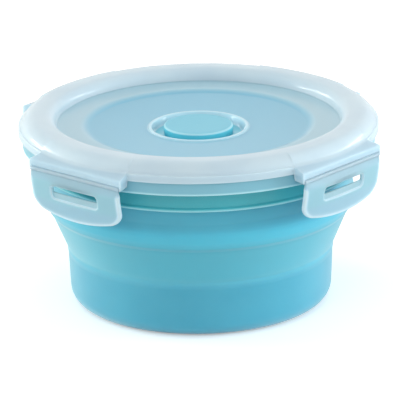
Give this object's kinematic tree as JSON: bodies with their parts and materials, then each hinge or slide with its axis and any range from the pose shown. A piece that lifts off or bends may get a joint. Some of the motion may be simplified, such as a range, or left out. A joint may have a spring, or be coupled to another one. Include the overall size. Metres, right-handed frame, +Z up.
{
  "type": "collapsible bowl",
  "caption": "Round collapsible silicone food bowl whose wall folds flat, with a stiff collar, a frosted lid held by hinged side latches, and a lift-up vent plug.",
  "frame": {"origin": "centre of the bowl's foot, on the plane that it stands on", "axes": "+Z up along the bowl's axis; -Y, +X, +Y and -X point at the front, right, back and left latches"},
  "size_m": [0.1492, 0.1492, 0.0756],
  "materials": {
    "bowl_silicone": "soft matte blue-green silicone",
    "collar_plastic": "frosted polypropylene, tinted by the silicone behind it",
    "lid_plastic": "frosted translucent polypropylene",
    "latch_plastic": "frosted translucent polypropylene",
    "seal_silicone": "soft pale silicone",
    "plug_silicone": "soft light-blue silicone"
  },
  "bodies": {
    "base": {"base_cup": "bowl_silicone", "fold_band": "bowl_silicone"},
    "rim": {"upper_wall": "bowl_silicone", "rim_collar": "collar_plastic"},
    "lid": {"lid_shell": "lid_plastic", "lid_gasket": "seal_silicone"},
    "plug": {"vent_plug": "plug_silicone"},
    "front_latch": {"latch_front": "latch_plastic"},
    "right_latch": {"latch_right": "latch_plastic"},
    "back_latch": {"latch_back": "latch_plastic"},
    "left_latch": {"latch_left": "latch_plastic"}
  },
  "joints": [
    {"name": "collapse", "type": "slide", "parent": "base", "child": "rim", "axis": [0, 0, -1], "range_m": [0, 0.032], "deforming": ["fold_band"]},
    {"name": "lid_lift", "type": "slide", "parent": "rim", "child": "lid", "axis": [0, 0, 1], "range_m": [0, 0.06]},
    {"name": "plug_lift", "type": "slide", "parent": "lid", "child": "plug", "axis": [0, 0, 1], "range_m": [0, 0.003]},
    {"name": "latch_front_hinge", "type": "hinge", "parent": "lid", "child": "front_latch", "pos_m": [0, -0.0715, 0.0662], "axis": [-1, 0, 0], "range_deg": [0, 120]},
    {"name": "latch_right_hinge", "type": "hinge", "parent": "lid", "child": "right_latch", "pos_m": [0.0715, 0, 0.0662], "axis": [0, -1, 0], "range_deg": [0, 120]},
    {"name": "latch_back_hinge", "type": "hinge", "parent": "lid", "child": "back_latch", "pos_m": [0, 0.0715, 0.0662], "axis": [1, 0, 0], "range_deg": [0, 120]},
    {"name": "latch_left_hinge", "type": "hinge", "parent": "lid", "child": "left_latch", "pos_m": [-0.0715, 0, 0.0662], "axis": [0, 1, 0], "range_deg": [0, 120]}
  ]
}
